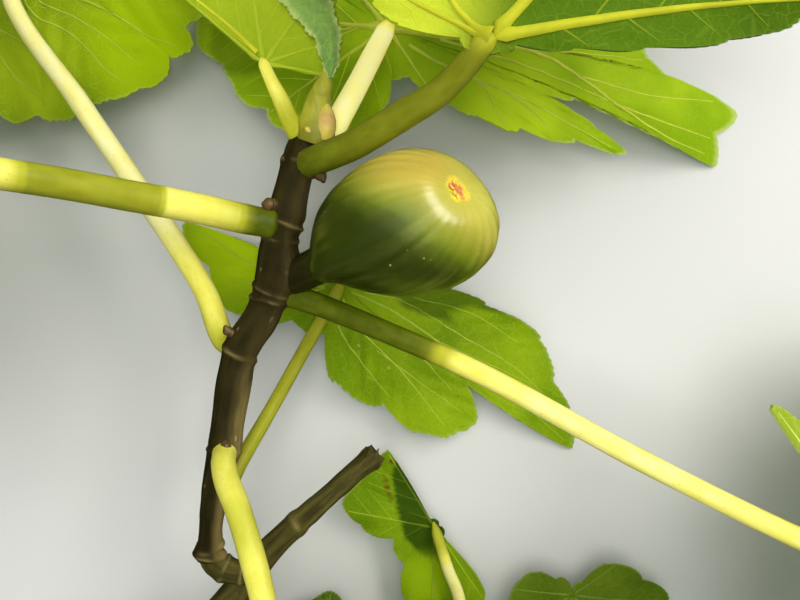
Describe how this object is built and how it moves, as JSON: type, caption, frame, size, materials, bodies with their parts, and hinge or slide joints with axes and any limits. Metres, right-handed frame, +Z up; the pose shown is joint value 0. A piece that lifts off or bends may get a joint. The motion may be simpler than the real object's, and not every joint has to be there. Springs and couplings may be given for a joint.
{
  "type": "fig branch",
  "caption": "Cut fig branch lying down: an old limb with a leafy side shoot, long-stalked lobed leaves and a ripening pear-shaped fruit near the tip.",
  "frame": {"origin": "On the ground plane, under the middle of the box round the lying branch. The branch rests on z = 0 on the tips of its lowest leaves and the cut end of its old limb.", "axes": "+Z is up. +X and +Y lie in the ground plane: seen from above the shoot runs roughly along +Y from the old limb to its tip, and the box round the leaves is longest along X."},
  "size_m": [0.4517, 0.365, 0.1209],
  "materials": {
    "old_bark": "rough grey-brown bark of last year's wood, torn at one end",
    "bark": "smooth dark brown bark of this year's shoot, tan where it is rubbed, with ring scars",
    "stalk": "smooth juicy yellow-green leaf stalk with a soft shine",
    "leaf": "matt yellow-green leaf, lit through, with paler raised veins below",
    "young_leaf": "softer, crinkled green of a leaf that is still opening",
    "fruit": "waxy olive-green skin with fine ribs, yellow and red at the eye",
    "bud": "dry tan and brown bud scales"
  },
  "bodies": {
    "root": {"old_limb": "old_bark", "spur": "old_bark", "shoot": "bark", "low_shoot": "bark", "leaf_stalk_1": "stalk", "leaf_1": "leaf", "leaf_stalk_2": "stalk", "leaf_2": "leaf", "leaf_stalk_3": "stalk", "leaf_3": "leaf", "leaf_stalk_4": "stalk", "leaf_4": "leaf", "leaf_stalk_5": "stalk", "leaf_5": "young_leaf", "leaf_stalk_6": "stalk", "leaf_6": "leaf", "leaf_stalk_7": "stalk", "leaf_7": "leaf", "leaf_stalk_8": "stalk", "leaf_8": "leaf", "leaf_stalk_9": "stalk", "leaf_9": "leaf", "leaf_stalk_10": "stalk", "leaf_10": "young_leaf", "leaf_stalk_11": "stalk", "leaf_11": "young_leaf", "fig": "fruit", "end_bud": "bud", "bud_1": "bud", "bud_2": "bud", "bud_3": "bud", "bract": "bud", "low_end_bud": "bud"}
  },
  "joints": []
}
